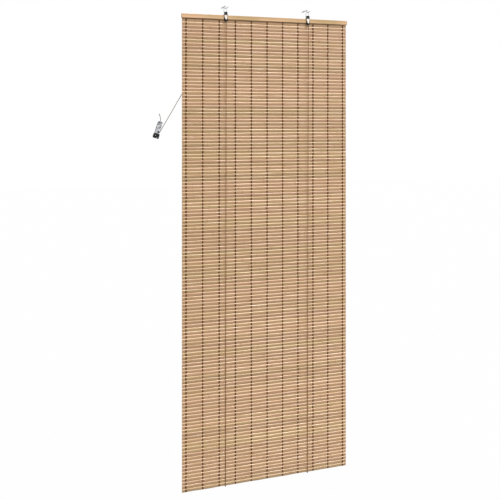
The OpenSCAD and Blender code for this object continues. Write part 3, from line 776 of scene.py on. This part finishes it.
def one_slat():
    """A straight slat along X, with its back at y = 0 and its middle at z = 0."""
    bm = bmesh.new()
    top = SLAT_HEIGHT / 2
    shoulder_z = top - ROUND_RADIUS * math.sin(ROUND_TURN)
    shoulder = bm.verts.new((0, -slat_thickness, shoulder_z))
    bmesh.ops.spin(
        bm, geom=[shoulder], cent=(0, ROUND_RADIUS - slat_thickness, shoulder_z), axis=(1, 0, 0),
        angle=-ROUND_TURN, steps=ARC_STEPS, use_duplicate=False,
    )
    bm.verts.new((0, SLAT_STEP - slat_thickness, -top))
    skin = sorted(bm.verts, key=lambda vert: vert.co.z)
    back = [bm.verts.new((0, 0, top)), bm.verts.new((0, 0, -top))]
    section = bm.faces.new(skin + back)
    for _ in range(RUN_STEPS):
        grown = bmesh.ops.extrude_face_region(bm, geom=[section])
        section = next(item for item in grown["geom"] if isinstance(item, bmesh.types.BMFace))
        bmesh.ops.translate(bm, verts=section.verts, vec=(mat_width / RUN_STEPS, 0, 0))
    bmesh.ops.recalc_face_normals(bm, faces=bm.faces)
    return bm


master_mesh = bpy.data.meshes.new("slat_master")
bm = one_slat()
bm.to_mesh(master_mesh)
bm.free()
print("one slat has", len(master_mesh.polygons), "faces")

# %% [markdown]
# All slats. An array modifier would stack equal copies, but hand-split slats aren't equal. So each copy
# of the slat gets its own thickness and tone, and along its length it bends up and down and leans, each
# stretch in its own way. The random numbers have a fixed seed, so every run makes the same mat.

# %% All slats
STEPS_A_BEND = 2
THINNEST = 0.84
SLAT_LIFT = 0.42 * MM
SLAT_LEAN = 0.15
PINKEST_HUE = 0.25
OLIVEST_HUE = 0.8
SLAT_SHARP = math.radians(40)
slat_count = round((rail_low.z - mat_low.z) / SLAT_PITCH)


def bends(amount):
    """A random value at every second step along the slat, with straight runs between them."""
    stretch = mat_width * STEPS_A_BEND / RUN_STEPS
    values = [chance.uniform(-amount, amount) for _ in range(RUN_STEPS // STEPS_A_BEND + 2)]

    def at(x):
        place = x / stretch
        i = int(place)
        return values[i] + (values[i + 1] - values[i]) * (place - i)
    return at


bm = bmesh.new()
tone_layer = bm.verts.layers.float_color.new("slat_tone")
for i in range(slat_count):
    first = len(bm.verts)
    bm.from_mesh(master_mesh)
    bm.verts.ensure_lookup_table()
    middle = mat_low.z + (i + 0.5) * SLAT_PITCH
    thick = chance.uniform(THINNEST, 1.0)
    lift = bends(SLAT_LIFT)
    lean = bends(SLAT_LEAN)
    light = chance.uniform(0, 1)
    hue = chance.uniform(PINKEST_HUE, OLIVEST_HUE)
    for vert in bm.verts[first:]:
        x, y, z = vert.co
        vert[tone_layer] = (light, hue, z / SLAT_HEIGHT + 0.5, 1)
        depth = y * thick + lean(x) * z * y / slat_thickness
        vert.co = (mat_low.x + x, mat_high.y + depth, middle + z + lift(x))
slats = finish_piece(bm, "bamboo_slats", CANE, "blind", sharp_angle=SLAT_SHARP)
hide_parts("woven_mat")
bpy.data.meshes.remove(master_mesh)
print("slats:", slat_count, "faces:", len(slats.data.polygons))

# %% [markdown]
# The warp over one slat. Three dark brown yarns lie side by side over the face of the slat and dip into
# the gaps below and above it, where they are pulled together, and one more yarn runs behind. This shows
# as a row of dark dashes. A painted line would be flat, so the yarns are tubes, with few faces because
# they repeat many times.

# %% Yarns over one slat
YARN_RADIUS = 0.8 * MM
YARN_SPREAD = 1.5 * MM
YARN_PINCH = 0.12
YARN_THIN = 0.34
YARN_SIDES = 4
IN_THE_GAP = slat_thickness - 0.6 * MM
AT_THE_FOOT = SLAT_STEP - 0.9 * MM
ON_THE_FACE = SLAT_STEP - 1.9 * MM
AT_THE_SHOULDER = -0.25 * MM
ON_THE_LEDGE = 0.1 * MM
BEHIND = slat_thickness + 0.4 * MM
# A point of a path is its share of the pitch, its depth behind the mat's front, and the shares of the
# spread and of the radius there.
FRONT_PATH = [
    (0.0, IN_THE_GAP, YARN_PINCH, YARN_THIN), (0.1, AT_THE_FOOT, 0.88, 0.9), (0.38, ON_THE_FACE, 1.1, 1.0),
    (0.66, AT_THE_SHOULDER, 0.88, 0.9), (0.8, ON_THE_LEDGE, YARN_PINCH, YARN_THIN),
    (1.0, IN_THE_GAP, YARN_PINCH, YARN_THIN),
]
BACK_PATH = [(0.0, IN_THE_GAP, 0, YARN_THIN), (0.5, BEHIND, 0, 1.0), (1.0, IN_THE_GAP, 0, YARN_THIN)]


def yarn_over_slat(bm, path, offset):
    """One yarn from gap to gap."""
    route = []
    for rise, depth, spread_share, _ in path:
        route.append(Vector((offset * spread_share, mat_low.y + depth, rise * SLAT_PITCH)))
    shares = [thickness for _, _, _, thickness in path]
    tube_along(bm, route, YARN_RADIUS, YARN_SIDES, capped=False, shares=shares)


bm = bmesh.new()
for offset in (-YARN_SPREAD, 0, YARN_SPREAD):
    yarn_over_slat(bm, FRONT_PATH, offset)
yarn_over_slat(bm, BACK_PATH, 0)
repeat_mesh = bpy.data.meshes.new("warp_repeat")
bm.to_mesh(repeat_mesh)
bm.free()
print("faces over one slat:", len(repeat_mesh.polygons))

# %% [markdown]
# The warp threads. An array modifier could copy the yarns of one slat up the mat, but in a line too
# straight for a woven mat. So each copy gets a small sway, and the copies are joined to one piece for each
# thread, which stands where its plain solid is and replaces it.

# %% Warp threads
YARN_SWAY = 0.4 * MM
thread_names = sorted(name for name in nodes if name.startswith("warp_thread_"))
for name in thread_names:
    low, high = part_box(name)
    bm = bmesh.new()
    for i in range(slat_count):
        first = len(bm.verts)
        bm.from_mesh(repeat_mesh)
        bm.verts.ensure_lookup_table()
        sway = chance.uniform(-YARN_SWAY, YARN_SWAY)
        place = Vector(((low.x + high.x) / 2 + sway, 0, mat_low.z + i * SLAT_PITCH))
        bmesh.ops.translate(bm, verts=bm.verts[first:], vec=place)
    piece = finish_piece(bm, name + "_yarn", WARP_YARN, "blind")
    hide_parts(name)
bpy.data.meshes.remove(repeat_mesh)
print("warp threads:", len(thread_names))

# %% [markdown]
# The floor and the world. More light would make the background white, but it would wash out the blind
# too. So the pale floor and the world look white only to the camera, to mirrors and to glass, through the
# Light Path node, and they light the blind at a plain level. A small share of the floor's own shading
# keeps the shadow.

# %% Floor and world
FLOOR_Z = -2.1
FLOOR_SIZE = 30.0
FLOOR_COLOUR = (0.34, 0.34, 0.34, 1)
FLOOR_WHITE_SHARE = 0.985
WORLD_LIGHT = 0.3


def seen_directly(tree):
    """1 where the camera, a mirror or glass looks straight at the surface."""
    path = add(tree, "ShaderNodeLightPath")
    seen = math_node(tree, "MAXIMUM", path.outputs["Is Camera Ray"], path.outputs["Is Glossy Ray"])
    return math_node(tree, "MAXIMUM", seen, path.outputs["Is Transmission Ray"])


def floor_finish():
    material, tree, shader = new_material("pale floor", Roughness=0.9, Base_Color=FLOOR_COLOUR)
    glow = add(tree, "ShaderNodeEmission", {"Color": (1, 1, 1, 1), "Strength": 1.0})
    share = math_node(tree, "MULTIPLY", seen_directly(tree), FLOOR_WHITE_SHARE)
    mixed = add(tree, "ShaderNodeMixShader", {0: share, 1: shader.outputs[0], 2: glow.outputs[0]})
    out = next(node for node in tree.nodes if node.type == "OUTPUT_MATERIAL")
    tree.links.new(mixed.outputs[0], out.inputs["Surface"])
    return material


def stage_floor():
    bm = bmesh.new()
    lowered = Matrix.Translation((0, 0, FLOOR_Z))
    bmesh.ops.create_grid(bm, x_segments=1, y_segments=1, size=FLOOR_SIZE / 2, matrix=lowered)
    mesh = bpy.data.meshes.new("floor")
    bm.to_mesh(mesh)
    bm.free()
    mesh.materials.append(floor_finish())
    floor = bpy.data.objects.new("floor", mesh)
    bpy.context.scene.collection.objects.link(floor)


def stage_world():
    world = bpy.data.worlds.new("white room")
    bpy.context.scene.world = world
    world.use_nodes = True
    tree = world.node_tree
    background = next(node for node in tree.nodes if node.type == "BACKGROUND")
    background.inputs["Color"].default_value = (1, 1, 1, 1)
    level = spread(tree, seen_directly(tree), WORLD_LIGHT, 1.0)
    tree.links.new(level, background.inputs["Strength"])


stage_floor()
stage_world()
print("floor at", FLOOR_Z, "world light", WORLD_LIGHT)

# %% [markdown]
# The lamps. One soft lamp would light the blind evenly, but the slats would look flat. Two suns stand in
# front, about 35 degrees up: one at the left gives the main light, and one at the right draws the bright
# line along the upper edge of every slat. An area lamp fills in from the right, and a sun behind lights
# the back.

# %% Lamps
AIM = Vector((0, 0, -0.8))


def add_lamp(name, kind, towards, **settings):
    """A lamp that shines from a direction, given as a vector from the middle of the blind."""
    data = bpy.data.lights.new(name, kind)
    for key, value in settings.items():
        setattr(data, key, value)
    lamp = bpy.data.objects.new(name, data)
    lamp.location = AIM + Vector(towards)
    lamp.rotation_euler = (-Vector(towards)).to_track_quat("-Z", "Y").to_euler()
    bpy.context.scene.collection.objects.link(lamp)


add_lamp("key", "SUN", towards=(-1.3, -2.5, 1.9), energy=1.58, angle=math.radians(10))
add_lamp("gloss", "SUN", towards=(1.05, -2.4, 2.0), energy=1.72, angle=math.radians(10))
add_lamp("side", "AREA", towards=(3.2, -3.0, 0.6), energy=30, size=2.0)
add_lamp("behind", "SUN", towards=(1.2, 3.4, 2.0), energy=1.5, angle=math.radians(12))
bpy.context.scene.view_settings.view_transform = "Standard"
print("lamps:", len(bpy.data.lights))
